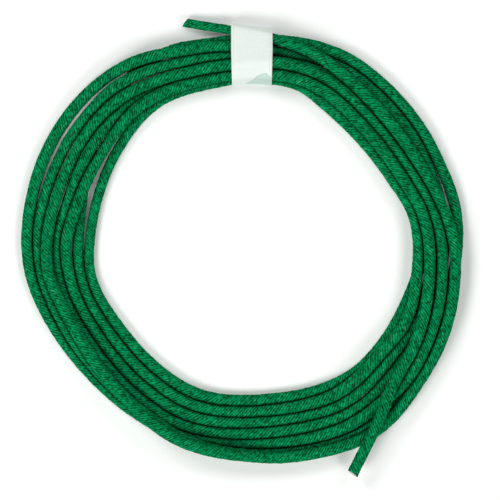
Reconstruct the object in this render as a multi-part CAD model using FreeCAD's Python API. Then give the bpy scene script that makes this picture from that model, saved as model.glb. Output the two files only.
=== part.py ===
import FreeCAD, Part
import math
import os

# A flat coil of cloth-covered wire, wound by hand and tied at one place with paper tape.
# Sizes are in millimetres, angles in degrees and counter-clockwise from +X, seen from above.

# The wire: a cotton cover round an insulation round seven strands.
wire_diameter = 2.6
cover_wall = 0.3
strand_diameter = 0.38
strand_gap = 0.01
layer_gap = 0.02

# The ring: an oval, whose turns lie close at the tie and fan out away from it.
ring_radius = 45.5
oval_swell = 2.1
oval_angle = -38.0
turn_gap = 0.45
fan_width = 1.7
tight_angle = 52.0
upper_lean = 0.5
flat_share = 0.1

# The winding: inwards in the lower layer, a climb, then outwards in the upper layer.
lower_turns = 4
wound_turns = 7.25
turn_steps = 4
climb_turns = 0.5
settle_turns = 0.25
wire_sides = 8

# The tie: one strip of paper tape, whose end laps over its start.
band_angle = 88.4
band_width = 10.0
paper_thickness = 0.2
wrap_gap = 0.4
lap_gap = 0.05
seat_gap = 0.1
seat_side_gap = 0.3
fold_radius = 0.7
strip_start = 1.5
end_short = 1.0
end_slant = 2.0

# The two free ends. The first leaves the tie straight, and the last crosses over the outer turn.
# The last one's points are an angle, lanes out from the middle of the ring, and a rise above it.
first_end_show = 1.5
first_end_length = 10.0
last_first_run = 9.0
last_route = [
    (-27.2, 1.62, 0.1),
    (-40.8, 1.53, 0.3),
    (-55.1, 1.66, 0.4),
    (-65.1, 3.38, -0.8),
]
bend_share = 0.45

# Values that follow from the sizes above.
wire_radius = wire_diameter / 2
wire_inradius = wire_radius * math.cos(math.pi / wire_sides)
flat_depth = wire_diameter * flat_share
low_height = wire_inradius - flat_depth
layer_rise = wire_diameter + turn_gap
first_lead = band_width / 2 + first_end_show


def vector(x, y, z):
    return FreeCAD.Vector(x, y, z)


UP = vector(0, 0, 1)


def unit(v):
    return v * (1 / v.Length)


# The centre line of the wound wire. It starts under the tie and runs clockwise, seen from above.
def angle_at(turn):
    return band_angle - 360 * turn


def lane_at(turn):
    """Lanes in from the outermost one: they count up to the climb, and down again after it."""
    return turn if turn <= lower_turns else 2 * lower_turns - turn


def lane_spacing(angle):
    fan = (1 - math.cos(math.radians(angle - tight_angle))) / 2
    return wire_diameter + turn_gap + fan_width * fan


def middle_radius(angle):
    return ring_radius + oval_swell * math.cos(2 * math.radians(angle - oval_angle))


def eased(share):
    """0 up to share 0, 1 from share 1 on, and a smooth rise between."""
    return (1 - math.cos(math.pi * min(max(share, 0), 1))) / 2


def upper_share(turn):
    """0 in the lower layer, 1 in the upper one, and between them in the climb."""
    return eased((turn - lower_turns) / climb_turns + 0.5)


def lean_at(turn):
    """Lanes by which the upper layer lies further out than its count says, most opposite the tie."""
    return upper_lean * upper_share(turn) * (1 - math.cos(2 * math.pi * turn)) / 2


def height_at(turn):
    """Round at the tie, flat on the floor after it, a climb about the innermost lane, then high."""
    flat = wire_radius - (wire_radius - low_height) * eased(turn / settle_turns)
    return flat + layer_rise * upper_share(turn)


def ring_place(angle, lanes_out, height):
    """A place by its angle, its lanes out from the middle of the ring, and its height."""
    radius = middle_radius(angle) + lanes_out * lane_spacing(angle)
    x = radius * math.cos(math.radians(angle))
    y = radius * math.sin(math.radians(angle))
    return vector(x, y, height)


def place(turn):
    lanes_out = lower_turns / 2 - lane_at(turn) + lean_at(turn)
    return ring_place(angle_at(turn), lanes_out, height_at(turn))


def heading(turn):
    step = 0.0001
    return unit(place(turn + step) - place(turn - step))


def arc_from(start, direction, end):
    """The arc that leaves start along direction and ends at end."""
    chord = end - start
    along = unit(chord)
    side = direction - along * direction.dot(along)
    half_turn = math.atan2(side.Length, direction.dot(along))
    top = start + chord * 0.5 + unit(side) * (chord.Length / 2 * math.tan(half_turn / 2))
    return Part.Arc(start, top, end).toShape()


def biarc(start, start_direction, end, end_direction):
    """Two arcs that meet smoothly and hold both places and both directions."""
    chord = end - start
    both = start_direction + end_direction
    openness = 2 * (1 - start_direction.dot(end_direction))
    pull = chord.dot(both)
    reach = (math.sqrt(pull * pull + openness * chord.dot(chord)) - pull) / openness
    joint = (start + end + (start_direction - end_direction) * reach) * 0.5
    back = arc_from(end, end_direction * -1, joint)
    return [arc_from(start, start_direction, joint), back]


def wound_path():
    """The spine's edges in order, with a straight lead at both ends."""
    count = round(wound_turns * turn_steps)
    turns = [i / turn_steps for i in range(count + 1)]
    first = place(0)
    last = place(wound_turns)
    lead_in = first - heading(0) * first_lead
    lead_out = last + heading(wound_turns) * wire_diameter
    edges = [Part.LineSegment(lead_in, first).toShape()]
    for turn, after in zip(turns, turns[1:]):
        edges += biarc(place(turn), heading(turn), place(after), heading(after))
    edges.append(Part.LineSegment(last, lead_out).toShape())
    return edges, lead_in, lead_out


def spread_points(edges, spacing):
    """Points along the edges, in order from the first edge's start."""
    points = [edges[0].Vertexes[0].Point]
    for edge in edges:
        steps = max(1, math.ceil(edge.Length / spacing))
        inner = edge.discretize(Number=steps + 1)
        if (inner[0] - points[-1]).Length > (inner[-1] - points[-1]).Length:
            inner.reverse()
        points += inner[1:]
    return points


def faceted_section(centre, direction):
    """The wire's outline as a polygon square to direction, with a flat side down."""
    side = unit(direction.cross(UP))
    rise = side.cross(direction)
    corners = []
    for i in range(wire_sides):
        turn = -math.pi / 2 + math.pi / wire_sides * (2 * i + 1)
        offset = side * math.cos(turn) + rise * math.sin(turn)
        corners.append(centre + offset * wire_radius)
    return Part.makePolygon(corners + corners[:1])


def swept(edges, section):
    shell = Part.BRepOffsetAPI.MakePipeShell(Part.Wire(edges))
    shell.add(section)
    shell.build()
    shell.makeSolid()
    return shell.shape()


def section_area():
    return wire_sides / 2 * wire_radius ** 2 * math.sin(2 * math.pi / wire_sides)


def report_volume(name, solid, edges):
    length = sum(edge.Length for edge in edges)
    share = solid.Volume / (section_area() * length)
    print(f"{name}: length {length:.1f} mm, volume over section times length {share:.4f}")


def report_self_gap(edges):
    """Prints the least gap between stretches of the wire that are over half a turn apart."""
    spacing = 1.5
    points = spread_points(edges, spacing)
    skip = round(math.pi * ring_radius / spacing)
    least = min(
        (a - b).Length for i, a in enumerate(points) for b in points[i + skip:]
    )
    print(f"least gap of the wound wire to itself {least - wire_diameter:.3f} mm")


def cylinder(radius, start, direction, length):
    return Part.makeCylinder(radius, length, start, direction)


def cut_end(start, direction, length):
    """A straight end of the wire with its cover, its insulation and its strands."""
    sleeve_radius = wire_radius - cover_wall
    insulation_radius = sleeve_radius - layer_gap
    strand_pitch = strand_diameter + strand_gap
    bore_radius = strand_pitch + strand_diameter / 2 + layer_gap
    cover = cylinder(wire_radius, start, direction, length)
    cover = cover.cut(cylinder(sleeve_radius, start, direction, length))
    insulation = cylinder(insulation_radius, start, direction, length)
    insulation = insulation.cut(cylinder(bore_radius, start, direction, length))
    side = unit(direction.cross(UP))
    rise = side.cross(direction)
    strands = [cylinder(strand_diameter / 2, start, direction, length)]
    for i in range(6):
        turn = math.pi / 3 * i
        offset = (side * math.cos(turn) + rise * math.sin(turn)) * strand_pitch
        strands.append(cylinder(strand_diameter / 2, start + offset, direction, length))
    return cover, insulation, Part.makeCompound(strands)


def rounded_route(points):
    """Straight runs joined by arcs as large as the runs allow."""
    edges = []
    at = points[0]
    for before, corner, after in zip(points, points[1:], points[2:]):
        coming = unit(corner - before)
        going = unit(after - corner)
        shorter = min((corner - before).Length, (after - corner).Length)
        reach = bend_share * shorter
        radius = reach / math.tan(coming.getAngle(going) / 2)
        print(f"bend radius {radius:.1f} mm at ({corner.x:.1f}, {corner.y:.1f})")
        arc_start = corner - coming * reach
        edges.append(Part.LineSegment(at, arc_start).toShape())
        at = corner + going * reach
        edges.append(arc_from(arc_start, coming, at))
    edges.append(Part.LineSegment(at, points[-1]).toShape())
    return edges, at


# The paper strip. Its cross-section is a run round the wires that it ties, seen along +X.
def wires_in_plane(points, x):
    """Where the wire crosses the plane at x beside the tie, as (y, height), in winding order."""
    found = []
    for a, b in zip(points, points[1:]):
        if min(a.y, b.y) > 0 and (a.x < x) != (b.x < x):
            share = (x - a.x) / (b.x - a.x)
            found.append((a.y + (b.y - a.y) * share, a.z + (b.z - a.z) * share))
    return found


def strip_section(x, wires, end_cut):
    """A closed outline of the strip in the plane at x. Each support is a centre and a radius."""
    wrap = wire_radius + wrap_gap + paper_thickness / 2
    lapped = wrap + paper_thickness + lap_gap
    fold = fold_radius + paper_thickness / 2
    fold_height = paper_thickness / 2 + fold
    outer = wires[0]
    climbing = wires[lower_turns]
    inner_low = wires[lower_turns - 1]
    inner_top = wires[lower_turns + 1]
    outer_top = wires[-1]
    supports = [
        (outer_top, wrap),
        (inner_top, wrap),
        (climbing, wrap),
        ((inner_low[0] - wrap + fold, fold_height), fold),
        ((outer[0] + wrap - fold, fold_height), fold),
        (outer, wrap),
        (outer_top, lapped),
        (inner_top, lapped),
        (climbing, lapped),
    ]
    normals = []
    for (a, ra), (b, rb) in zip(supports, supports[1:]):
        dy = b[0] - a[0]
        dz = b[1] - a[1]
        slope = math.atan2(dz, dy) - math.asin((rb - ra) / math.hypot(dy, dz))
        normals.append((-math.sin(slope), math.cos(slope)))

    def on(support, normal, offset):
        centre, radius = support
        reach = radius + offset
        return vector(x, centre[0] - normal[0] * reach, centre[1] - normal[1] * reach)

    def side(offset):
        """One face of the strip, from its start to its end, as edges."""
        first = on(supports[0], normals[0], offset)
        turn_in = on(supports[1], normals[0], offset)
        at = first + unit(turn_in - first) * strip_start
        edges = []
        for i in range(1, len(supports) - 1):
            arc_start = on(supports[i], normals[i - 1], offset)
            arc_end = on(supports[i], normals[i], offset)
            between = (normals[i - 1][0] + normals[i][0], normals[i - 1][1] + normals[i][1])
            size = math.hypot(between[0], between[1])
            middle = on(supports[i], (between[0] / size, between[1] / size), offset)
            edges.append(Part.LineSegment(at, arc_start).toShape())
            edges.append(Part.Arc(arc_start, middle, arc_end).toShape())
            at = arc_end
        last = on(supports[-1], normals[-1], offset)
        end = last + unit(at - last) * end_cut
        edges.append(Part.LineSegment(at, end).toShape())
        return edges

    inside = side(-paper_thickness / 2)
    outside = side(paper_thickness / 2)
    start_cap = Part.LineSegment(outside[0].Vertexes[0].Point, inside[0].Vertexes[0].Point)
    end_cap = Part.LineSegment(inside[-1].Vertexes[1].Point, outside[-1].Vertexes[1].Point)
    return Part.Wire(inside + [end_cap.toShape()] + outside[::-1] + [start_cap.toShape()])


def paper_strip(points, left, right):
    """The strip follows the wires sideways, and keeps its heights from edge to edge."""
    middle = wires_in_plane(points, (left + right) / 2)
    sections = []
    for x, end_cut in ((left, end_short), (right, end_short + end_slant)):
        here = wires_in_plane(points, x)
        wires = [(across, height) for (across, _), (_, height) in zip(here, middle)]
        sections.append(strip_section(x, wires, end_cut))
    return Part.makeLoft(sections, True, True)


def block(low_x, high_x, high_z):
    """A block from well below the floor up to high_z, across the whole coil."""
    reach = 2 * ring_radius
    depth = wire_diameter
    corner = vector(low_x, -reach, -depth)
    return Part.makeBox(high_x - low_x, 2 * reach, depth + high_z, corner)


# The wound wire, cut flat where it lies on the floor and pressed in where the paper passes under it.
coil_edges, coil_start, coil_end = wound_path()
coil_points = spread_points(coil_edges, 0.5)
report_self_gap(coil_edges)
coil = swept(coil_edges, faceted_section(coil_start, heading(0)))
report_volume("wound turns", coil, coil_edges)
coil_reach = 2 * ring_radius
coil = coil.cut(block(-coil_reach, coil_reach, 0))
band_middle = place(0).x
band_left = band_middle - band_width / 2
band_right = band_middle + band_width / 2
seat_top = paper_thickness + seat_gap
seat = block(band_left - seat_side_gap, band_right + seat_side_gap, seat_top)
seat_front = vector(-coil_reach, 0, -coil_reach)
seat = seat.common(Part.makeBox(2 * coil_reach, coil_reach, 2 * coil_reach, seat_front))
coil = coil.cut(seat)

# The paper tie.
band = paper_strip(coil_points, band_left, band_right)

# The last free end: a bent stretch, then a straight cut end.
run_start = coil_end + heading(wound_turns) * last_first_run
high = low_height + layer_rise
last_points = [coil_end, run_start]
last_points += [ring_place(angle, lanes, high + rise) for angle, lanes, rise in last_route]
last_edges, last_cut_start = rounded_route(last_points)
tail_section = faceted_section(coil_end, heading(wound_turns))
tail = swept(last_edges[:-1], tail_section)
report_volume("finish tail", tail, last_edges[:-1])
last_cut = last_points[-1] - last_cut_start
last_parts = cut_end(last_cut_start, unit(last_cut), last_cut.Length)

# The first free end is straight from the tie on.
first_parts = cut_end(coil_start, heading(0) * -1, first_end_length)

nodes = {
    "wound_turns": coil,
    "finish_tail": tail,
    "start_end_cover": first_parts[0],
    "start_end_insulation": first_parts[1],
    "start_end_strands": first_parts[2],
    "finish_end_cover": last_parts[0],
    "finish_end_insulation": last_parts[1],
    "finish_end_strands": last_parts[2],
    "paper_band": band,
}

# The origin is the middle of the whole object's footprint, on the floor.
whole = Part.makeCompound(list(nodes.values())).optimalBoundingBox()
shift = vector(-whole.Center.x, -whole.Center.y, 0)
print(f"size {whole.XLength:.2f} x {whole.YLength:.2f} x {whole.ZLength:.2f} mm, bottom {whole.ZMin:.4f}")
print(f"ring centre at ({shift.x:.3f}, {shift.y:.3f}) mm")

os.makedirs("parts", exist_ok=True)
for name, shape in nodes.items():
    shape.translate(shift)
    shape.exportStep(f"parts/{name}.step")
    print(f"{name}: {len(shape.Solids)} solids, {shape.Volume:.2f} mm3, valid {shape.isValid()}")
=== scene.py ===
# %% [markdown]
# # A tied coil of cloth-covered wire
#
# The real thing is two metres of bell wire: seven tinned copper strands in a pale insulating sleeve, served
# with nine green cotton yarns. It was wound round a hand into a flat ring, two or three wires deep, and
# tied with a strip of white paper. The CAD frame holds the ring's place and size. Everything that shows is
# made here, on top of that frame.

import bpy
import mathutils
import numpy as np
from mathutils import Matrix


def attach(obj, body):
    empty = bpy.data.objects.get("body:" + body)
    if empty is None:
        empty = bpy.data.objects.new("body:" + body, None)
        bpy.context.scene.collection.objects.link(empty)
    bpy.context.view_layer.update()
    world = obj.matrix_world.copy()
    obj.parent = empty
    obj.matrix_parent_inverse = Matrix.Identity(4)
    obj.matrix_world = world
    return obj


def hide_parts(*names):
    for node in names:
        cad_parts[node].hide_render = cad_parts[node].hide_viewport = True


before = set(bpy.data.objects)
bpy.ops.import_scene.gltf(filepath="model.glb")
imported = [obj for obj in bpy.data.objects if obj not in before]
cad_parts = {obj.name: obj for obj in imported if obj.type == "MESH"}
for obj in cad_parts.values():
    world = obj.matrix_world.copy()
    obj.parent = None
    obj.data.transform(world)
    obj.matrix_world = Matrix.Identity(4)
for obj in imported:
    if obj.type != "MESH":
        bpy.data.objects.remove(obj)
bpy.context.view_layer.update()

MM = 0.001
print("CAD nodes:", ", ".join(sorted(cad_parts)))

# %% [markdown]
# ## The picture's view
#
# The coil lies flat and is seen from straight above. A long lens from far away keeps the ring round and
# shows the same sides of every turn, as an orthographic view would, and it still is a real lens that other
# views can move about.

# %% Camera
VIEW_WIDTH = 120 * MM
VIEW_MIDDLE = np.array([1.68, -0.60, 3.0]) * MM
LENS, SENSOR = 400.0, 36.0

camera_data = bpy.data.cameras.new("camera")
camera_data.lens, camera_data.sensor_width = LENS, SENSOR
camera_data.clip_start, camera_data.clip_end = 0.05, 20
camera = bpy.data.objects.new("camera", camera_data)
camera.location = VIEW_MIDDLE + np.array([0, 0, VIEW_WIDTH * LENS / SENSOR])
bpy.context.scene.collection.objects.link(camera)
bpy.context.scene.camera = camera
bpy.context.scene.view_settings.view_transform = "Standard"
print(f"camera {camera.location.z:.2f} m up, {VIEW_WIDTH / MM:.0f} mm wide at the coil")

# %% [markdown]
# ## The cord's line
#
# A coil like this is one long line. It is easiest to think of in turns: at each direction round the ring,
# every turn has a lane, which is its distance from the middle, and a step, which says how many turns it
# lies on. The lanes below are in millimetres, one list per turn, from the cut end that sticks out of the
# tie to the one at the lower right. Lying on the table is step 0, and a turn that crosses over others has a
# higher step. Lanes that nothing shows are only a first guess.

# %% The lanes of the turns
RING_MIDDLE = np.array([0.12, 1.68])
FIRST_DIRECTION = 90.0

# A lane every 10 degrees of turning, clockwise from the tie. One list of 36 is one turn.
LANE_EVERY = 10
LANES = [
    [49.9, 48.7, 48.0, 46.6, 45.5, 45.1, 45.4, 46.5, 48.3, 50.5, 51.5, 52.6,
     53.5, 54.1, 55.3, 55.3, 54.0, 52.9, 51.6, 51.0, 50.1, 48.3, 46.9, 46.1,
     45.8, 46.2, 47.6, 47.2, 46.3, 45.7, 45.5, 45.5, 45.1, 43.9, 42.6, 42.2],
    [42.4, 43.4, 43.7, 43.3, 42.4, 42.0, 42.4, 43.5, 45.7, 47.4, 48.4, 49.6,
     50.6, 51.6, 51.2, 51.1, 50.2, 49.4, 49.2, 49.2, 49.3, 48.8, 48.5, 48.5,
     49.2, 50.3, 51.4, 51.8, 51.8, 51.9, 51.8, 51.6, 51.1, 50.1, 48.1, 47.3],
    [46.4, 46.0, 46.8, 48.1, 47.8, 47.8, 48.0, 47.9, 48.2, 48.0, 48.0, 48.0,
     47.3, 46.4, 48.4, 48.5, 47.4, 46.6, 46.6, 46.8, 46.8, 45.7, 44.9, 44.4,
     44.3, 44.6, 45.2, 44.9, 43.4, 42.9, 42.7, 43.0, 42.8, 42.7, 42.8, 43.1],
    [42.4, 41.8, 41.6, 41.3, 40.8, 40.3, 40.8, 41.5, 42.5, 43.2, 42.7, 41.9,
     41.7, 41.7, 41.7, 40.7, 39.6, 38.7, 38.5, 38.7, 38.4, 37.6, 37.0, 36.8,
     37.0, 37.7, 37.8, 37.0, 36.6, 36.6, 37.0, 37.6, 38.6, 39.2, 38.9, 38.7],
    [39.5, 40.2, 40.2, 38.4, 37.5, 37.4, 37.9, 39.1, 41.4, 42.1, 42.4, 43.4,
     43.7, 42.8, 42.9, 43.0, 42.0, 41.3, 41.1, 41.3, 41.2, 40.3, 39.7, 39.0,
     39.2, 39.8, 40.1, 39.8, 39.8, 40.8, 42.5, 44.6, 46.8, 48.5, 48.9, 47.9],
    [48.2, 48.8, 49.8, 50.3, 50.2, 50.2, 50.3, 50.6, 51.5, 51.5, 51.1, 51.4,
     51.6, 52.1, 53.8, 54.2, 53.0, 52.0, 51.1, 50.4, 49.4, 48.0, 47.3, 47.3,
     47.6, 48.3, 49.4, 49.6, 49.1, 48.6, 48.4, 48.1, 48.1, 46.7, 45.3, 44.2],
    [43.3, 42.7, 44.0, 44.6, 44.8, 44.8, 44.8, 44.6, 45.1, 45.6, 45.6, 45.6,
     45.6, 45.5, 45.8, 46.0, 44.8, 44.0, 43.8, 44.2, 44.0, 43.0, 42.1, 41.6,
     41.5, 42.5, 42.7, 42.6, 40.9, 40.2, 40.0, 40.3, 40.9, 40.5, 39.9, 39.7],
]

# A step every 20 degrees or so, at these places of each turn.
STEP_TURNING = [10, 30, 50, 70, 90, 110, 130, 150, 170, 190, 210, 230, 250, 270, 290, 310, 330, 340, 355]
STEPS = [
    [2, 2, 2, 2, 2, 2, 2, 2, 2, 3, 3.2, 3.3, 3, 2.5, 2, 2, 2, 1.5, 1],
    [2, 2, 2, 2, 2, 2, 2, 2, 2, 1.2, 0, 0, 0, 0.2, 1.5, 2, 2, 2, 2],
    [1, 1, 1, 0, 0, 0, 0.5, 2, 2, 2, 1.5, 1, 1, 1, 1, 1, 0.5, 0, 0],
    [0, 0, 0, 0, 0, 0, 1, 1, 1, 1, 1, 1, 1, 1, 1, 1, 1, 1, 1],
    [2, 2, 2, 2, 2, 2, 2, 2, 2, 1.5, 1, 1, 1, 1, 0.5, 0, 0, 0, 0],
    [1, 1, 1, 1, 0, 0, 0, 0, 0, 0.5, 1.7, 1.8, 1.7, 1.2, 1.3, 1.5, 2, 2.2, 2.5],
    [0, 0, 0, 0, 0, 0, 1, 1, 1, 1, 1, 1, 1, 1.5, 2, 2, 2, 2, 2],
]

# Before the first whole turn and after the last one, listed: turning, lane and step.
FIRST_END = [(-15, 54.17, 0), (-10, 52.25, 0.3), (-5, 50.83, 1.0)]
LAST_TURN = [
    (0, 40.0, 3), (10, 40.3, 3), (20, 40.9, 3), (30, 40.6, 3), (40, 39.8, 3), (50, 39.6, 3),
    (60, 40.0, 3), (70, 41.1, 3), (80, 43.1, 3), (90, 44.4, 3), (100, 45.3, 3), (110, 46.5, 3),
    (120, 47.9, 3.2), (125, 48.4, 3.4), (130, 49.0, 4), (135, 50.1, 4), (140, 52.5, 4),
    (145, 55.1, 4), (150, 57.93, 3.6), (154.9, 61.72, 3),
]

lane_keys = [(at, lane) for at, lane, _ in FIRST_END]
step_keys = [(at, step) for at, _, step in FIRST_END]
for turn, (lanes, steps) in enumerate(zip(LANES, STEPS)):
    lane_keys += [(360 * turn + LANE_EVERY * i, lane) for i, lane in enumerate(lanes)]
    step_keys += [(360 * turn + at, step) for at, step in zip(STEP_TURNING, steps)]
lane_keys += [(360 * len(LANES) + at, lane) for at, lane, _ in LAST_TURN]
step_keys += [(360 * len(LANES) + at, step) for at, _, step in LAST_TURN[1:]]
lane_keys, step_keys = np.array(lane_keys, float), np.array(step_keys, float)
print(f"{len(lane_keys)} lane places over {(lane_keys[-1, 0] - lane_keys[0, 0]) / 360:.2f} turns")

# %% [markdown]
# ## How full the cover is
#
# The cotton is tight at the clean cut by the tie and fuller in the turns, where handling has loosened it.
# Here and there it has been rubbed up, and in one place it is pulled thin. The cover's radius is a line
# through such places.

# %% The cover's radius along the wire
# Turning in degrees, and radius in millimetres.
COVER_KEYS = np.array(
    [
        (-15, 1.10), (-3, 1.12), (15, 1.34), (40, 1.41), (480, 1.41), (495, 1.50), (525, 1.50),
        (545, 1.41), (600, 1.41), (630, 1.51), (665, 1.51), (700, 1.41), (830, 1.41), (855, 1.50),
        (885, 1.48), (910, 1.41), (1255, 1.41), (1270, 1.46), (1295, 1.46), (1310, 1.41),
        (1340, 1.27), (1390, 1.27), (1420, 1.41), (1565, 1.41), (1580, 1.47), (1600, 1.47),
        (1615, 1.43), (1630, 1.48), (1660, 1.48), (1680, 1.41), (2285, 1.41), (2300, 1.46),
        (2315, 1.46), (2335, 1.41), (2350, 1.47), (2378, 1.47), (2392, 1.41), (2674.9, 1.42),
    ]
)
print(f"cover between {COVER_KEYS[:, 1].min()} and {COVER_KEYS[:, 1].max()} mm in radius")

# %% [markdown]
# ## Letting the turns settle
#
# Lanes alone would let the turns run through each other. A physics engine could drop the wire, but two
# metres of springy wire in a heap is slow and never lands twice in the same way. Here the turns settle as a
# stack of discs instead: in each slice across the ring, a turn sinks to the table or to what it lies on,
# overlapping turns push each other apart, and each point is drawn towards its lane and to its neighbours
# along the wire. It takes a second and always ends the same.

# %% Settle the turns
# Slices and the tie's place are in degrees, gaps and lifts in millimetres, and a step's height in radii.
SLICE = 5.0
SLICES = int(360 / SLICE)
TURN_GAP, TABLE_GAP = -0.24, 0.04
TIE_DIRECTION, TIE_HALF_WIDTH, TIE_LIFT = 87.5, 12.0, 0.36
STEP_HEIGHT = 1.8

# What is done in each round, and how often.
SINKING, HEIGHT_EVENING = 0.005, 0.10
LANE_HOLD, LANE_EVENING = 0.03, 0.25
PUSH_SHARE, PUSHES = 0.25, 3
ROUNDS = 900


def smooth_between(at, keys_at, values):
    """Values between keys on a smooth line: each stretch is a cubic that leaves its two keys with the
    slopes of their neighbours' chords, so that a wide lane stays round and never overshoots by much."""
    slopes = np.gradient(values, keys_at)
    index = np.clip(np.searchsorted(keys_at, at, side="right") - 1, 0, len(keys_at) - 2)
    span = keys_at[index + 1] - keys_at[index]
    t = (at - keys_at[index]) / span
    rise = t * t * (3 - 2 * t)
    return (
        values[index] * (1 - rise)
        + values[index + 1] * rise
        + span * t * (1 - t) * ((1 - t) * slopes[index] - t * slopes[index + 1])
    )


def drawn_to_neighbours(values, share):
    """Each point but the two ends moves a share of the way to the middle of its neighbours on the wire."""
    moved = values.copy()
    moved[1:-1] += share * (0.5 * (values[2:] + values[:-2]) - values[1:-1])
    return moved


def in_slices(chain):
    """The chain of points as a table of turn by slice, with nothing in the places past its end."""
    table = np.full(SLICES * -(-len(chain) // SLICES), np.nan)
    table[: len(chain)] = chain
    return table.reshape(-1, SLICES)


def pushed_apart(lane, height, radius, share):
    """In every slice, two turns nearer than their radii allow are moved apart along the line between them,
    each by a share of what is missing. Where two turns cross at an angle, their distance along the lane
    counts less, by the cosine. The gap is below nothing, because cotton presses into cotton."""
    slope = np.gradient(lane) / (np.radians(SLICE) * lane)
    x, z, m, r = in_slices(lane), in_slices(height), in_slices(slope), in_slices(radius)
    least = r[:, None] + r[None] + TURN_GAP
    lean = 1 / np.sqrt(1 + (m[:, None] - m[None]) ** 2)
    dx, dz = (x[:, None] - x[None]) * lean, z[:, None] - z[None]
    gap = np.sqrt(dx**2 + dz**2) + 1e-9
    push = np.where(gap < least, (least - gap) / gap, 0.0) * share
    push[np.isnan(push)] = 0
    np.einsum("iij->ij", push)[:] = 0
    move_x = np.nansum(push * np.nan_to_num(dx), axis=1).ravel()[: len(lane)]
    move_z = np.nansum(push * np.nan_to_num(dz), axis=1).ravel()[: len(lane)]
    return lane + move_x, height + move_z


def settle(turning, lane_keys, step_keys, radius):
    """Each round: every point sinks a little, is drawn to its lane and its neighbours, is pushed clear of
    the other turns and is lifted back on to the table, or on to the paper where the tie passes under."""
    wanted = smooth_between(turning, *lane_keys.T)
    lane = wanted.copy()
    height = radius * (1 + STEP_HEIGHT * smooth_between(turning, *step_keys.T))
    off_tie = (turning - (FIRST_DIRECTION - TIE_DIRECTION) + 180) % 360 - 180
    table = radius + TABLE_GAP + TIE_LIFT * np.exp(-((off_tie / TIE_HALF_WIDTH) ** 6))
    for _ in range(ROUNDS):
        height = drawn_to_neighbours(height - SINKING, HEIGHT_EVENING)
        lane = wanted + drawn_to_neighbours(lane - wanted, LANE_EVENING) * (1 - LANE_HOLD)
        for _ in range(PUSHES):
            lane, height = pushed_apart(lane, height, radius, PUSH_SHARE)
            height = np.maximum(height, table)
    return lane, height, wanted


turning = np.append(np.arange(lane_keys[0, 0], lane_keys[-1, 0], SLICE), lane_keys[-1, 0])
cover_radius = np.interp(turning, *COVER_KEYS.T)
lane, height, wanted = settle(turning, lane_keys, step_keys, cover_radius)
direction = np.radians(FIRST_DIRECTION - turning)
route = np.stack(
    [RING_MIDDLE[0] + lane * np.cos(direction), RING_MIDDLE[1] + lane * np.sin(direction), height], axis=1
)
print(f"{len(route)} route points, heights {height.min():.2f} to {height.max():.2f} mm")
moved = np.abs(lane - wanted)
print(f"lanes moved by {moved.mean():.2f} mm on average, {moved.max():.2f} at most")

# %% [markdown]
# ## One smooth spline
#
# The settled points steer a NURBS spline, which is what gives wire its even bends: it is drawn by its
# points and rounds off what is left of their unevenness. Everything on the wire is then built along points
# read back from that spline. It runs a millimetre past both cuts, so that a slanting cut has wire on both
# sides to be worked out from.

# %% The wire's centre line
PAST_CUT = 1.0 * MM


def spline_points(name, points, steps=12):
    """Points along an open NURBS curve of order 3, from its first control point to its last."""
    curve = bpy.data.curves.new(name, "CURVE")
    curve.dimensions = "3D"
    spline = curve.splines.new("NURBS")
    spline.points.add(len(points) - 1)
    spline.points.foreach_set("co", np.column_stack([points, np.ones(len(points))]).ravel())
    spline.order_u = 3
    spline.use_endpoint_u = True
    curve.resolution_u = steps
    holder = bpy.data.objects.new(name, curve)
    mesh = bpy.data.meshes.new_from_object(holder)
    line = np.empty(len(mesh.vertices) * 3)
    mesh.vertices.foreach_get("co", line)
    bpy.data.objects.remove(holder)
    bpy.data.curves.remove(curve)
    bpy.data.meshes.remove(mesh)
    return line.reshape(-1, 3)


def distances(line):
    """How far along the line each of its points is."""
    return np.concatenate([[0], np.cumsum(np.linalg.norm(np.diff(line, axis=0), axis=1))])


def further(last, before, length):
    """The point that lies that much further on, straight on from the point before through the last one."""
    return last + (last - before) / np.linalg.norm(last - before) * length


route = route * MM
route = np.vstack([further(route[0], route[1], PAST_CUT), route, further(route[-1], route[-2], PAST_CUT)])
wire_line = spline_points("wire_route", route)
wire_along = distances(wire_line)
WIRE_END = wire_along[-1]
off_x, off_y = (wire_line[:, :2] / MM - RING_MIDDLE).T
wire_turning = FIRST_DIRECTION - np.degrees(np.unwrap(np.arctan2(off_y, off_x)))
wire_cover = np.interp(wire_turning, *COVER_KEYS.T) * MM
print(f"wire {WIRE_END - 2 * PAST_CUT:.3f} m long between its cuts, read at {len(wire_line)} points")
print(f"it turns from {wire_turning[0]:.1f} to {wire_turning[-1]:.1f} degrees")

# %% [markdown]
# ## Shapes carried along a line
#
# Sleeve, strands and yarns are all the same kind of surface: a closed profile that travels along a line.
# Its first parameter runs along the line and its second goes round the profile. What each one needs is a
# frame at every point. The wire lies nearly flat everywhere, so "sideways" is always level and "up" stays
# away from the wire's own direction, and the frame never spins by itself.

# %% Frames and grids
SHARP_ANGLE = np.radians(50)


def unit(vectors):
    """The same directions, one long."""
    return vectors / np.linalg.norm(vectors, axis=-1, keepdims=True)


wire_forward = unit(np.gradient(wire_line, wire_along, axis=0))
print(f"the wire climbs by at most {np.degrees(np.arcsin(np.abs(wire_forward[:, 2]).max())):.0f} degrees")


def frames_at(at):
    """Place, forward, left and up at any distances along the wire, with left always level."""
    place, forward = (
        np.stack([np.interp(at, wire_along, values[:, i]) for i in range(3)], axis=-1)
        for values in (wire_line, wire_forward)
    )
    forward = unit(forward)
    left = unit(np.cross([0, 0, 1], forward))
    return place, forward, left, np.cross(forward, left)


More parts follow.
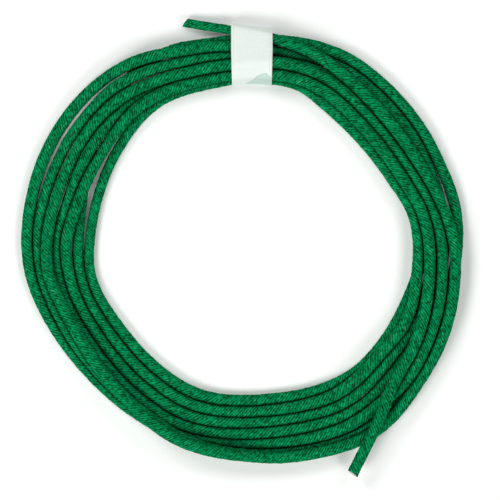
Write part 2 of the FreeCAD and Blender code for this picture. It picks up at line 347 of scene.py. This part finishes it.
def grid_mesh(name, points):
    """A mesh from a table of points, rows along and columns round, closed round each row and capped at both
    ends. Its faces point outwards: where its volume comes out below nothing, it is turned inside out."""
    rows, columns = points.shape[:2]
    index = np.arange(rows * columns).reshape(rows, columns)
    near, far = index, np.roll(index, -1, axis=1)
    quads = np.stack([near[:-1], far[:-1], far[1:], near[1:]], axis=-1).reshape(-1, 4)
    a, b, c, d = (points.reshape(-1, 3)[quads[:, i]] for i in range(4))
    volume = (np.cross(a, b) * c).sum() + (np.cross(a, c) * d).sum()
    faces = quads.tolist() + [index[0][::-1].tolist(), index[-1].tolist()]
    if volume < 0:
        faces = [face[::-1] for face in faces]
    mesh = bpy.data.meshes.new(name)
    mesh.from_pydata(points.reshape(-1, 3), [], faces)
    mesh.polygons.foreach_set("use_smooth", np.ones(len(faces), bool))
    mesh.set_sharp_from_angle(angle=SHARP_ANGLE)
    mesh.update()
    return mesh


def put_attribute(mesh, name, values):
    """A number or a vector at every vertex, for a material to read."""
    kind, field = ("FLOAT_VECTOR", "vector") if values.shape[-1] == 3 else ("FLOAT", "value")
    layer = mesh.attributes.new(name, kind, "POINT")
    layer.data.foreach_set(field, np.ascontiguousarray(values, np.float32).ravel())


def add_piece(name, mesh, material):
    """An object of that mesh at the origin, riding on the frame's one body."""
    piece = bpy.data.objects.new(name, mesh)
    bpy.context.scene.collection.objects.link(piece)
    mesh.materials.append(material)
    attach(piece, "root")
    return piece


# %% [markdown]
# ## Cut ends
#
# Both ends were snipped at a slant. A slanting cut could be made with a boolean, but a cheaper way is to
# let every long line of a surface stop just where it meets the cutting plane. Each line's end is found by
# Newton's steps, and the last rows before a cut are slid along to meet it.

# %% Lines that stop at a cut
START_SLANT, FINISH_SLANT = np.radians(26), np.radians(11)
START_RISE, FINISH_RISE = np.radians(0), np.radians(15)
CUT_FADE = 3 * MM
NEWTON_STEP, NEWTON_ROUNDS = 0.01 * MM, 6


def cutting_plane(at, slant, rise):
    """A point on the cut and its normal: forward, leaning so that the wire's left side is cut further
    along, and its underside too where the cut rises."""
    place, forward, left, up = frames_at(np.array(at))
    return place, forward - np.tan(slant) * left + np.tan(rise) * up


START_CUT = cutting_plane(PAST_CUT, START_SLANT, START_RISE)
FINISH_CUT = cutting_plane(WIRE_END - PAST_CUT, FINISH_SLANT, FINISH_RISE)


def between_cuts(surface, ends, rows, columns):
    """The distances along the wire of a table of surface points. Each end is a distance, or a distance with
    a cut: there every column goes to the plane in a few rounds, each by its distance from the plane over
    how fast that shrinks."""
    limits = np.zeros((2, columns))
    for limit, (near, cut) in zip(limits, ends):
        limit[:] = near
        for _ in range(NEWTON_ROUNDS if cut else 0):
            missed, missed_ahead = (
                (surface(limit[None] + ahead)[0] - cut[0]) @ cut[1] for ahead in (0, NEWTON_STEP)
            )
            limit -= missed * NEWTON_STEP / (missed_ahead - missed)
    middle = limits.mean(axis=1)
    at = np.linspace(*middle, rows)[:, None]
    for limit, centre in zip(limits, middle):
        at = at + np.clip(1 - np.abs(at - centre) / CUT_FADE, 0, 1) * (limit - centre)
    return at


print("cuts slant by", *(f"{np.degrees(angle):.0f} degrees" for angle in (START_SLANT, FINISH_SLANT)))

# %% [markdown]
# ## Materials
#
# Cotton first. Dyed cotton yarn is thousands of fibres that run along the yarn. Seen close, it has fine
# lengthwise streaks and short stretches that took more or less dye, and a few pale specks, which are
# painted glints of light on its waxed fibres. One node group gives all of these from three numbers kept on
# each yarn: how far along, how far across, and its number.
#
# Light hardly reaches the cotton between two yarns or between two turns. The shadows alone come out too
# pale there, so two more numbers kept on the yarns darken the colour: the crest, high on a yarn's ridge and
# low at its edges, and the clearance, which is how far the nearest other turn is.

# %% Node helpers
def new_group(name, inputs, outputs):
    """A shader node group with number, colour or vector sockets."""
    group = bpy.data.node_groups.new(name, "ShaderNodeTree")
    for title, kind, value in inputs:
        made = group.interface.new_socket(title, in_out="INPUT", socket_type="NodeSocket" + kind)
        if value is not None:
            made.default_value = value
    for title, kind in outputs:
        group.interface.new_socket(title, in_out="OUTPUT", socket_type="NodeSocket" + kind)
    return group, group.nodes.new("NodeGroupInput"), group.nodes.new("NodeGroupOutput")


def node(tree, kind, settings=None, values=None):
    """A node with its settings, its plain socket values, and links from other nodes' sockets."""
    made = tree.nodes.new(kind)
    for key, value in (settings or {}).items():
        setattr(made, key, value)
    for key, value in (values or {}).items():
        if isinstance(value, bpy.types.NodeSocket):
            tree.links.new(value, made.inputs[key])
        else:
            made.inputs[key].default_value = value
    return made


def kept(tree, name):
    """What the piece's own attribute of that name holds at each point."""
    return node(tree, "ShaderNodeAttribute", {"attribute_name": name, "attribute_type": "GEOMETRY"})


def mixed(tree, factor, first, second):
    """Colour mix of two colours or sockets."""
    return node(tree, "ShaderNodeMix", {"data_type": "RGBA"}, {0: factor, 6: first, 7: second}).outputs[2]


def math(tree, operation, first, second=0.0):
    """One sum of two numbers or sockets."""
    return node(tree, "ShaderNodeMath", {"operation": operation}, {0: first, 1: second}).outputs[0]


def scaled(tree, vector, factors):
    """A vector with each of its three numbers multiplied by its own factor."""
    return node(tree, "ShaderNodeVectorMath", {"operation": "MULTIPLY"}, {0: vector, 1: factors}).outputs[0]


def noise(tree, vector, scale=1.0, detail=2.0, roughness=0.5):
    """A cloudy number between 0 and 1 at that place."""
    values = {"Vector": vector, "Scale": scale, "Detail": detail, "Roughness": roughness}
    return node(tree, "ShaderNodeTexNoise", values=values).outputs[0]


def ranged(tree, value, low, high, out_low=0.0, out_high=1.0):
    """Value from low..high to out_low..out_high, kept inside."""
    values = {"Value": value, "From Min": low, "From Max": high, "To Min": out_low, "To Max": out_high}
    return node(tree, "ShaderNodeMapRange", values=values).outputs["Result"]


def linear(red, green, blue):
    """A colour as a screen shows it, 0 to 255, as the linear values that Blender's sockets take."""
    c = np.array([red, green, blue]) / 255
    return (*np.where(c <= 0.04045, c / 12.92, ((c + 0.055) / 1.055) ** 2.4), 1.0)


def new_material(name, **sockets):
    """A material with one Principled shader and those plain values."""
    material = bpy.data.materials.new(name)
    material.use_nodes = True
    shader = material.node_tree.nodes["Principled BSDF"]
    for key, value in sockets.items():
        shader.inputs[key.replace("_", " ")].default_value = value
    return material, material.node_tree, shader


def add_bump(tree, shader, height, distance, strength):
    """Relief of that height map on the shader's normal."""
    values = {"Strength": strength, "Distance": distance, "Height": height}
    tree.links.new(node(tree, "ShaderNodeBump", values=values).outputs[0], shader.inputs["Normal"])


print("a screen's green of 0, 137, 75 in linear values:", *(f"{v:.3f}" for v in linear(0, 137, 75)[:3]))

# %% The fibres group
# Place is millimetres along the yarn, millimetres across it, and the yarn's number.
YARN_OFFSET = 17.3
fibres, given, out = new_group(
    "cotton_fibres",
    [("Place", "Vector", None), ("Streak Length", "Float", 1.4), ("Streak Width", "Float", 0.07)],
    [(title, "Float") for title in ("Streaks", "Tufts", "Specks", "Drift", "Relief")],
)
place = node(fibres, "ShaderNodeSeparateXYZ", values={0: given.outputs["Place"]})
streak_place = node(
    fibres,
    "ShaderNodeCombineXYZ",
    values={
        0: math(fibres, "DIVIDE", place.outputs[0], given.outputs["Streak Length"]),
        1: math(fibres, "DIVIDE", place.outputs[1], given.outputs["Streak Width"]),
        2: math(fibres, "MULTIPLY", place.outputs[2], YARN_OFFSET),
    },
).outputs[0]
streaks = noise(fibres, streak_place, detail=3.0, roughness=0.6)
tufts = noise(fibres, scaled(fibres, streak_place, (1.7, 0.10, 1.3)), detail=1.0)
specks = noise(fibres, scaled(fibres, streak_place, (1.1, 0.35, 1.0)), detail=1.0)
drift = noise(fibres, scaled(fibres, streak_place, (0.12, 0.0, 0.37)))
fibres.links.new(ranged(fibres, streaks, 0.30, 0.70), out.inputs["Streaks"])
fibres.links.new(ranged(fibres, tufts, 0.34, 0.66), out.inputs["Tufts"])
fibres.links.new(ranged(fibres, specks, 0.68, 0.78), out.inputs["Specks"])
fibres.links.new(ranged(fibres, drift, 0.35, 0.65), out.inputs["Drift"])
fibres.links.new(streaks, out.inputs["Relief"])
print("fibres group with", len(fibres.nodes), "nodes")

# %% Green cotton
cotton, tree, shader = new_material("green_cotton", Roughness=0.8, Specular_IOR_Level=0.01)
lay, crest, clear = (kept(tree, name) for name in ("lay", "crest", "clearance"))
fibre = node(tree, "ShaderNodeGroup", {"node_tree": fibres}, {"Place": lay.outputs["Vector"]})
ground = mixed(tree, fibre.outputs["Streaks"], linear(0, 92, 46), linear(0, 137, 75))
tufted = mixed(tree, ranged(tree, fibre.outputs["Tufts"], 0, 1, 0.0, 0.7), ground, linear(12, 188, 116))
toned = mixed(tree, ranged(tree, fibre.outputs["Drift"], 0, 1, 0.0, 0.4), tufted, linear(0, 84, 50))
# Painted shade: the cotton darkens towards each yarn's edges, where its crest number is low, in place of
# shadow in the grooves between yarns. The tufts only make it uneven.
crest_shade = math(tree, "ADD", crest.outputs["Fac"], ranged(tree, fibre.outputs["Tufts"], 0, 1, -0.4, 0.4))
shaded_yarn_edges = mixed(tree, ranged(tree, crest_shade, -0.35, 0.80), linear(0, 18, 8), toned)
# Painted glints: a few pale specks in place of light caught on waxed fibres.
specked = mixed(tree, fibre.outputs["Specks"], shaded_yarn_edges, linear(90, 180, 138))
# Painted shade: where another turn lies within 0.75 mm, the cotton is darkened nearly to black, in place of
# the shadow in the joins between turns.
shade_near_turns = ranged(tree, clear.outputs["Fac"], 0.0, 0.75)
tree.links.new(mixed(tree, shade_near_turns, linear(0, 12, 5), specked), shader.inputs["Base Color"])
add_bump(tree, shader, fibre.outputs["Relief"], 0.05 * MM, 0.5)
print("cotton with", len(tree.nodes), "nodes")

# %% [markdown]
# The other three are plainer. The sleeve is a pale, slightly uneven rubber, the strands are copper with a
# dull skin of tin, and the tape is white paper with a faint green cast. They share one small group that
# gives clouds, and a paper that has been folded over a hard edge also keeps a row of tiny pressed marks
# along both sides.

# %% The clouds group
clouds, given, out = new_group(
    "clouds",
    [("Place", "Vector", None), ("Size", "Float", 1.0), ("Contrast", "Float", 0.5)],
    [("Clouds", "Float"), ("Relief", "Float")],
)
spread = math(clouds, "DIVIDE", 0.25, given.outputs["Contrast"])
cloud_values = {0: given.outputs["Place"], 1: given.outputs["Size"]}
cloud_place = node(clouds, "ShaderNodeVectorMath", {"operation": "DIVIDE"}, cloud_values).outputs[0]
cloud = noise(clouds, cloud_place, detail=4.0, roughness=0.6)
low, high = math(clouds, "SUBTRACT", 0.5, spread), math(clouds, "ADD", 0.5, spread)
clouds.links.new(ranged(clouds, cloud, low, high), out.inputs["Clouds"])
clouds.links.new(cloud, out.inputs["Relief"])


def cloudy(tree, place, size, contrast):
    """The clouds group placed in a material."""
    values = {"Place": place, "Size": size, "Contrast": contrast}
    return node(tree, "ShaderNodeGroup", {"node_tree": clouds}, values)


print("clouds group with", len(clouds.nodes), "nodes")

# %% Sleeve, copper and paper
sleeve, tree, shader = new_material("pale_insulation", Roughness=0.5)
cloud = cloudy(tree, node(tree, "ShaderNodeTexCoord").outputs["Object"], 1.0 * MM, 1.0)
toned = mixed(tree, cloud.outputs[0], linear(172, 184, 172), linear(206, 212, 202))
tree.links.new(toned, shader.inputs["Base Color"])
add_bump(tree, shader, cloud.outputs[1], 0.03 * MM, 0.3)

tinned, tree, shader = new_material("tinned_copper", Metallic=1.0, Roughness=0.35)
cloud = cloudy(tree, node(tree, "ShaderNodeTexCoord").outputs["Object"], 0.3 * MM, 1.0)
toned = mixed(tree, cloud.outputs[0], linear(168, 166, 162), linear(214, 212, 206))
tree.links.new(toned, shader.inputs["Base Color"])
tree.links.new(ranged(tree, cloud.outputs[0], 0.0, 1.0, 0.28, 0.45), shader.inputs["Roughness"])

# The strip's map is millimetres along and across the strip. The marks lie about 0.6 mm inside both edges.
PRESSED_LINES, PRESSED_WIDTH = (-2.25, 6.45), 0.11
paper, tree, shader = new_material("white_paper_tape", Roughness=0.8, Specular_IOR_Level=0.2)
strip = node(tree, "ShaderNodeUVMap", {"uv_map": "strip"}).outputs[0]
across = node(tree, "ShaderNodeSeparateXYZ", values={0: strip}).outputs[1]
layer = kept(tree, "layer").outputs["Fac"]
cloud = cloudy(tree, strip, 1.1, 0.8)
specks = cloudy(tree, strip, 0.34, 3.0)
off_line = [math(tree, "ABSOLUTE", math(tree, "SUBTRACT", across, line)) for line in PRESSED_LINES]
on_line = ranged(tree, math(tree, "MINIMUM", *off_line), PRESSED_WIDTH, PRESSED_WIDTH / 3)
dots = ranged(tree, noise(tree, scaled(tree, strip, (3.4, 1.2, 1.0))), 0.42, 0.60)
pressed = math(tree, "MULTIPLY", on_line, dots)
sheet = mixed(tree, cloud.outputs[0], linear(240, 250, 243), linear(245, 253, 247))
specked = mixed(tree, ranged(tree, specks.outputs[0], 0.9, 1.0, 0.0, 0.35), sheet, linear(220, 238, 234))
lined = mixed(tree, ranged(tree, pressed, 0, 1, 0.0, 0.8), specked, linear(200, 230, 230))
# Painted shade: the strip's first, inner layer is painted greyer and bluer than the second, as if it lay in
# shadow under the outer layer.
under = mixed(tree, layer, linear(206, 228, 218), lined)
tree.links.new(under, shader.inputs["Base Color"])
relief = math(tree, "SUBTRACT", cloud.outputs[1], pressed)
add_bump(tree, shader, relief, 0.03 * MM, 0.35)
print("materials:", ", ".join(m.name for m in (cotton, sleeve, tinned, paper)))

# %% [markdown]
# ## Sleeve
#
# The sleeve is a plain tube on the centre line. The cover hides nearly all of it, so it needs no more than
# round sides and the right cut at both ends, where it shows as a pale ring. It is soft, and squeezed where
# the cover is tight.

# %% The insulating sleeve
COVER_WALL = 0.30 * MM
SLEEVE_SIDES, SLEEVE_ROWS = 16, 1500
WIRE_ENDS = [(PAST_CUT, START_CUT), (WIRE_END - PAST_CUT, FINISH_CUT)]


def sleeve_surface(at):
    """Circles about the wire: place, plus the radius times the cosine of the angle to the left and its sine
    up. The radius is the cover's, less its wall."""
    angle = np.linspace(0, 2 * np.pi, SLEEVE_SIDES, endpoint=False)
    radius = np.interp(at, wire_along, wire_cover)[..., None] - COVER_WALL
    place, _, left, up = frames_at(at)
    return place + radius * (np.cos(angle)[:, None] * left + np.sin(angle)[:, None] * up)


sleeve_at = between_cuts(sleeve_surface, WIRE_ENDS, SLEEVE_ROWS, SLEEVE_SIDES)
mesh = grid_mesh("insulation", sleeve_surface(sleeve_at))
insulation = add_piece("insulation", mesh, sleeve)
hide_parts("start_end_insulation", "finish_end_insulation")
print(f"sleeve of {len(mesh.polygons)} faces")

# %% [markdown]
# ## Yarns
#
# Nine cotton yarns wind round the sleeve side by side, one turn every 7 mm or so, and set the slanting
# ridges that make this cloth-covered wire. A bump map could fake them, but they are real yarns here,
# because the ridges break up the outline and hold small shadows. No machine lays them quite evenly: the
# lead drifts, and each yarn has its own pull.

# %% The nine cotton yarns
YARNS = 9
YARN_LEAD = 7.2 * MM
YARN_HALF_THICKNESS = 0.16 * MM
SLACK = 0.016 * MM
ROWS_PER_LEAD = 18
YARN_OVERLAP = 1.03

# For the material: half a yarn's width in millimetres, and how far its crest number is lowered at the
# edges, where the cotton gets painted shade.
YARN_HALF_WIDTH, CREST_FALL = 0.3, 0.3

# Half an oval outside and a flat back on the sleeve. Across and outward, from -1 to 1.
YARN_PROFILE = np.array(
    [(1.0, -0.55), (0.95, 0.10), (0.74, 0.62), (0.40, 0.91), (0.0, 1.0), (-0.40, 0.91),
     (-0.74, 0.62), (-0.95, 0.10), (-1.0, -0.55), (-0.5, -0.9), (0.5, -0.9)]
)

# The lead drifts by a seventh along the wire, and is a third longer at the end that sticks out of the tie.
lead_here = YARN_LEAD * (1 + 0.10 * np.sin(wire_along / (37 * MM)) + 0.05 * np.sin(wire_along / (11 * MM)))
lead_here *= 1 + 0.35 * np.exp(-((wire_along / (22 * MM)) ** 2))
lead_between = 0.5 * (lead_here[1:] + lead_here[:-1])
twist = np.concatenate([[0], np.cumsum(2 * np.pi * np.diff(wire_along) / lead_between)])


def yarn_surface(number):
    """The profile carried along a helix about the wire. Its wide way lies along the wire's surface, square
    to the helix, and is wide enough for neighbours to touch. The helix's radius wavers, by a sum of three
    sines, and each yarn is a little thicker or thinner than the next."""
    offset = 2 * np.pi * number / YARNS
    thick = YARN_HALF_THICKNESS * (1 + 0.10 * np.sin(2.4 * number))

    def surface(at):
        angle = offset - np.interp(at, wire_along, twist)
        waver = np.sin(at / (3.1 * MM) + 5 * number) + np.sin(at / (1.3 * MM) - 3 * number)
        waver += np.sin(at / (7.9 * MM) + number)
        radius = np.interp(at, wire_along, wire_cover) - YARN_HALF_THICKNESS + SLACK * (waver - 1)
        place, forward, left, up = frames_at(at)
        cosine, sine = np.cos(angle)[..., None], np.sin(angle)[..., None]
        outward = cosine * left + sine * up
        slope = -2 * np.pi * radius / np.interp(at, wire_along, lead_here)
        across = unit(-sine * left + cosine * up - slope[..., None] * forward)
        half_width = np.pi * radius / YARNS / np.sqrt(1 + slope**2) * YARN_OVERLAP
        wide, high = half_width * YARN_PROFILE[:, 0], thick * YARN_PROFILE[:, 1]
        return place + (radius + high)[..., None] * outward + wide[..., None] * across

    return surface


# The turns before and after the one that a point is on, and where a turn that doesn't exist is taken to be.
OTHER_TURNS = np.delete(np.arange(-7, 8), 7)
NOWHERE = 1.0


def clearance(points, at):
    """How far each point is from the nearest other turn, in the slice across the ring that holds the point:
    the distance to that turn's centre line less that turn's radius."""
    off = points[..., :2] - RING_MIDDLE * MM
    here = np.interp(at, wire_along, wire_turning)
    own = FIRST_DIRECTION - np.degrees(np.arctan2(off[..., 1], off[..., 0]))
    own = here + (own - here + 180) % 360 - 180
    others = own[..., None] + 360 * OTHER_TURNS
    lane_there = np.interp(others, wire_turning, wire_lane, left=NOWHERE, right=NOWHERE)
    height_there = np.interp(others, wire_turning, wire_line[:, 2])
    cover_there = np.interp(others, wire_turning, wire_cover)
    from_lane = np.linalg.norm(off, axis=-1)[..., None] - lane_there
    return (np.hypot(from_lane, points[..., 2, None] - height_there) - cover_there).min(axis=-1)


wire_lane = np.linalg.norm(wire_line[:, :2] - RING_MIDDLE * MM, axis=1)
for number in range(YARNS):
    surface = yarn_surface(number)
    rows = int((WIRE_END - 2 * PAST_CUT) / YARN_LEAD * ROWS_PER_LEAD)
    at = between_cuts(surface, WIRE_ENDS, rows, len(YARN_PROFILE))
    points = surface(at)
    mesh = grid_mesh(f"cotton_yarn_{number + 1}", points)
    run = distances(points.mean(axis=1))[:, None] / MM
    width, top = YARN_PROFILE.T
    on_yarn = np.broadcast_arrays(run, width * YARN_HALF_WIDTH, float(number))
    put_attribute(mesh, "lay", np.stack(on_yarn, axis=-1))
    put_attribute(mesh, "crest", np.broadcast_to(top - CREST_FALL * width**2, points.shape[:2]))
    put_attribute(mesh, "clearance", clearance(points, at) / MM)
    add_piece(mesh.name, mesh, cotton)
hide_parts("wound_turns", "finish_tail", "start_end_cover", "finish_end_cover")

# %% [markdown]
# ## Copper strands
#
# The seven strands show only at the two cuts: one in the middle and six twisted round it. A few millimetres
# of each are enough, for the sleeve hides the rest.

# %% The strands at both cut ends
STRAND_RADIUS, STRAND_STEP, STRAND_LEAD = 0.165 * MM, 0.34 * MM, 12 * MM
STRANDS, STRAND_SIDES, STRAND_ROWS = 7, 12, 20
STRAND_DEPTH = 7 * MM
STRAND_PROUD = 0.05 * MM


def strand_surface(number):
    """Small circles on the centre line, or on a slow helix round it at one strand's distance."""
    profile = np.linspace(0, 2 * np.pi, STRAND_SIDES, endpoint=False)
    step = STRAND_STEP if number else 0.0

    def surface(at):
        angle = 2 * np.pi * (number / (STRANDS - 1) + at / STRAND_LEAD)
        place, forward, left, up = frames_at(at)
        middle = place + step * (np.cos(angle)[..., None] * left + np.sin(angle)[..., None] * up)
        return middle + STRAND_RADIUS * (np.cos(profile)[:, None] * left + np.sin(profile)[:, None] * up)

    return surface


start_at, finish_at = PAST_CUT, WIRE_END - PAST_CUT
start_cut = cutting_plane(start_at - STRAND_PROUD, START_SLANT, START_RISE)
finish_cut = cutting_plane(finish_at + STRAND_PROUD, FINISH_SLANT, FINISH_RISE)
for end_name, ends in (
    ("start", [(start_at, start_cut), (start_at + STRAND_DEPTH, None)]),
    ("finish", [(finish_at - STRAND_DEPTH, None), (finish_at, finish_cut)]),
):
    for number in range(STRANDS):
        surface = strand_surface(number)
        points = surface(between_cuts(surface, ends, STRAND_ROWS, STRAND_SIDES))
        mesh = grid_mesh(f"{end_name}_strand_{number + 1}", points)
        add_piece(mesh.name, mesh, tinned)
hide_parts("start_end_strands")
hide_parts("finish_end_strands")

# %% [markdown]
# ## The paper tie
#
# A strip of white paper is wound tightly round the bundle, nearly twice, and its end is cut at a slant and
# lies over the first layer. A taut strip takes the outline that a rubber band would: it touches the
# outermost wires and runs straight between them. That outline is found from the wires themselves, so the
# paper always fits. Paper is stiff across, so its outer side stays on one straight line, from the free end
# that pushes it out.

# %% The paper strip
PAPER, PAPER_GAP = 0.13, 0.02
TIED_RADIUS = 1.42
TIE_LEFT, TIE_RIGHT, TIE_LEAN = -2.84, 7.10, 0.20
OUTER_SLOPE = -0.118
STRIP_START = 0.03
STRIP_ROWS, STRIP_COLUMNS = 320, 25
OUTLINE_STEPS, OUTLINE_EVENINGS = 400, 4

# Where the strip's second turn climbs on to its first, and where its inner part leans sideways.
SECOND_FROM, SECOND_OVER = 0.985, 0.03
LEAN_FROM, LEAN_OVER = 47.0, 8.0

# The strip's slanting end: how far across the strip, and how far short of the ring's inner side it stops.
STRIP_END = np.array(
    [(-2.9, -0.9), (-0.26, 0.0), (1.2, 0.48), (2.5, 1.08),
     (3.46, 1.8), (4.54, 2.28), (5.74, 2.64), (7.1, 1.56)]
)


def wires_in_plane(x):
    """Where the wire passes through the plane at that x on the tie's side of the ring, as sideways and
    height in mm."""
    line = wire_line / MM
    cut = ((line[:-1, 0] < x) != (line[1:, 0] < x)) & (line[:-1, 1] > 0)
    a, b = line[:-1][cut], line[1:][cut]
    share = ((x - a[:, 0]) / (b[:, 0] - a[:, 0]))[:, None]
    return (a + (b - a) * share)[:, 1:]


def taut_outline(x):
    """The outline of a band drawn tight round the wires in one plane: in each direction the furthest wire's
    rim, then spread evenly by length. It starts underneath, and goes by the outer side over the top to the
    inner side."""
    at_left = wires_in_plane(TIE_LEFT)
    held_out = at_left[at_left[:, 0].argmax()] + np.array([OUTER_SLOPE * (x - TIE_LEFT), 0.0])
    wires = np.vstack([wires_in_plane(x), held_out])
    direction = np.radians(np.arange(-89.5, 270))
    outward = np.stack([np.cos(direction), np.sin(direction)], axis=1)
    rim = wires[np.argmax(wires @ outward.T, axis=0)] + TIED_RADIUS * outward
    underneath = np.array([wires[:, 0].mean(), rim[:, 1].min()])
    rim = np.vstack([underneath, rim, underneath])
    along = distances(rim)
    even = np.linspace(0, along[-1], OUTLINE_STEPS)
    return np.stack([np.interp(even, along, rim[:, i]) for i in range(2)], axis=1), along[-1]


def strip_end(outline, length, x):
    """The turn, between 1 and 2, at which the strip ends: short of the inner side by a distance seen from
    above, or past it by a distance along the strip."""
    inner = outline[:, 0].argmin()
    short = np.interp(x, *STRIP_END.T)
    if short < 0:
        return 1 + inner / (OUTLINE_STEPS - 1) - short / length
    top = outline[inner // 2 : inner + 1]
    falls = np.minimum.accumulate(top[:, 0])[::-1]
    index = inner - np.interp(outline[inner, 0] + short, falls, np.arange(len(falls)))
    return 1 + index / (OUTLINE_STEPS - 1)


def strip_points():
    """The strip's surface by its two parameters: how far round it has gone, from 0 to nearly 2 turns, and
    how far across. Round is a place on the taut outline, evened across the strip, because paper is stiff.
    The second turn lies a thickness further out."""
    across = np.linspace(TIE_LEFT, TIE_RIGHT, STRIP_COLUMNS)
    outlines, lengths = zip(*(taut_outline(x) for x in across))
    outlines = np.array(outlines)
    for _ in range(OUTLINE_EVENINGS):
        outlines[1:-1] = 0.5 * outlines[1:-1] + 0.25 * (outlines[2:] + outlines[:-2])
    columns, uvs, layers = [], [], []
    for x, outline, length in zip(across, outlines, lengths):
        turn = np.linspace(STRIP_START, strip_end(outline, length, x), STRIP_ROWS)
        position = (turn % 1) * (OUTLINE_STEPS - 1)
        tangent = np.gradient(outline, axis=0)
        normal = unit(np.stack([tangent[:, 1], -tangent[:, 0]], axis=1))
        y, z, out_y, out_z = (
            np.interp(position, np.arange(OUTLINE_STEPS), values) for values in (*outline.T, *normal.T)
        )
        second = np.clip((turn - SECOND_FROM) / SECOND_OVER, 0, 1)
        lift = PAPER / 2 + (PAPER + PAPER_GAP) * second
        lean = TIE_LEAN * (1 - 2 * (x - TIE_LEFT) / (TIE_RIGHT - TIE_LEFT))
        lean = lean * np.clip((LEAN_FROM - y) / LEAN_OVER, 0, 1)
        columns.append(np.stack([x + lean, y + lift * out_y, z + lift * out_z], axis=1))
        uvs.append(np.stack([turn * length, np.full(STRIP_ROWS, x)], axis=1))
        layers.append(second)
    return np.stack(columns, axis=1) * MM, np.stack(uvs, axis=1), np.stack(layers, axis=1)


def open_sheet(name, points, uv, uv_name):
    """A mesh from a table of points with free edges, and a UV map from a table of the same size."""
    rows, columns = points.shape[:2]
    index = np.arange(rows * columns).reshape(rows, columns)
    corners = [index[:-1, :-1], index[:-1, 1:], index[1:, 1:], index[1:, :-1]]
    quads = np.stack(corners, axis=-1).reshape(-1, 4)
    mesh = bpy.data.meshes.new(name)
    mesh.from_pydata(points.reshape(-1, 3), [], quads.tolist())
    mesh.polygons.foreach_set("use_smooth", np.ones(len(quads), bool))
    layer = mesh.uv_layers.new(name=uv_name)
    layer.uv.foreach_set("vector", uv.reshape(-1, 2)[quads.ravel()].astype(np.float32).ravel())
    mesh.update()
    return mesh


tie_points, tie_uv, tie_layers = strip_points()
mesh = open_sheet("paper_tie", tie_points, tie_uv, "strip")
put_attribute(mesh, "layer", tie_layers)
paper_tie = add_piece("paper_tie", mesh, paper)
thickness = paper_tie.modifiers.new("thickness", "SOLIDIFY")
thickness.thickness, thickness.offset = PAPER * MM, 0.0
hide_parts("paper_band")
low, high = tie_points.reshape(-1, 3).min(0) / MM, tie_points.reshape(-1, 3).max(0) / MM
print("paper tie from", low.round(2), "to", high.round(2), "mm")

# %% [markdown]
# ## Table, backdrop and light
#
# The floor is white paper to the camera. It is lit as plainly as the coil, and a little light of its own,
# seen only by the camera and in gloss, brings it to pure white. The coil's soft shadow still shows on it.

# %% Floor
FLOOR_HALF, FLOOR_GLOW = 2.0, 0.10
floor_mesh = bpy.data.meshes.new("floor")
corners = [(x * FLOOR_HALF, y * FLOOR_HALF, 0) for x, y in ((-1, -1), (1, -1), (1, 1), (-1, 1))]
floor_mesh.from_pydata(corners, [], [(0, 1, 2, 3)])
floor = bpy.data.objects.new("floor", floor_mesh)
bpy.context.scene.collection.objects.link(floor)
white, tree, shader = new_material("white_floor", Roughness=1.0, Specular_IOR_Level=0.0)
shader.inputs["Base Color"].default_value = linear(251, 252, 251)


def seen_plainly(tree, also):
    """One where a ray comes from the camera or is of that other kind."""
    path = node(tree, "ShaderNodeLightPath")
    return math(tree, "MAXIMUM", path.outputs["Is Camera Ray"], path.outputs[also])


glow = node(tree, "ShaderNodeEmission", values={"Color": (1, 1, 1, 1), "Strength": FLOOR_GLOW})
dark = node(tree, "ShaderNodeEmission", values={"Color": (0, 0, 0, 1), "Strength": 0.0})
seen = seen_plainly(tree, "Is Glossy Ray")
choose = node(tree, "ShaderNodeMixShader", values={0: seen, 1: dark.outputs[0], 2: glow.outputs[0]})
both = node(tree, "ShaderNodeAddShader", values={0: shader.outputs[0], 1: choose.outputs[0]})
tree.links.new(both.outputs[0], tree.nodes["Material Output"].inputs["Surface"])
floor_mesh.materials.append(white)
print(f"floor {2 * FLOOR_HALF:.0f} m square")

# %% [markdown]
# Four soft lamps stand round the coil, as on a copying stand. One lamp overhead would flatten the turns,
# and low light from the sides leaves the joins between them dark. The near left lamp is the strongest, so
# the turns are a little brighter there. What the lamps and the world give a level card adds up to about
# one, so a colour renders about as it is written.

# %% World and lamps
WORLD_LEVEL = 0.09
world = bpy.data.worlds.new("studio")
bpy.context.scene.world = world
world.use_nodes = True
tree = world.node_tree
background = tree.nodes["Background"]
background.inputs["Color"].default_value = (1, 1, 1, 1)
background.inputs["Strength"].default_value = WORLD_LEVEL
backdrop = node(tree, "ShaderNodeBackground", values={"Color": (1, 1, 1, 1), "Strength": 1.0})
seen = seen_plainly(tree, "Is Transmission Ray")
sides = {0: seen, 1: background.outputs[0], 2: backdrop.outputs[0]}
choose = node(tree, "ShaderNodeMixShader", values=sides)
tree.links.new(choose.outputs[0], tree.nodes["World Output"].inputs["Surface"])


def softbox(name, place, size, level):
    """A square lamp that faces the coil. Level is how bright it makes a white card lying there. Its power
    is the level times pi squared, times its distance squared, over the cosine of its angle from upright."""
    lamp = bpy.data.lights.new(name, "AREA")
    distance = float(np.linalg.norm(place))
    lamp.size = size
    lamp.energy = level * np.pi**2 * distance**2 / (place[2] / distance)
    holder = bpy.data.objects.new(name, lamp)
    holder.location = place
    backwards = unit(np.array(place, float))
    sideways = unit(np.cross([0, 1, 0], backwards))
    turned = np.stack([sideways, np.cross(backwards, sideways), backwards], axis=1)
    holder.rotation_euler = mathutils.Matrix(turned.tolist()).to_euler()
    bpy.context.scene.collection.objects.link(holder)
    return lamp.energy


LAMP_SIZE = 0.30
LAMPS = [
    ("near_left_lamp", (-0.38, -0.38, 0.55), 0.36),
    ("near_right_lamp", (0.38, -0.38, 0.55), 0.22),
    ("far_left_lamp", (-0.38, 0.38, 0.55), 0.23),
    ("far_right_lamp", (0.38, 0.38, 0.55), 0.14),
]
for name, place, level in LAMPS:
    print(f"{name} {softbox(name, place, LAMP_SIZE, level):.2f} W")
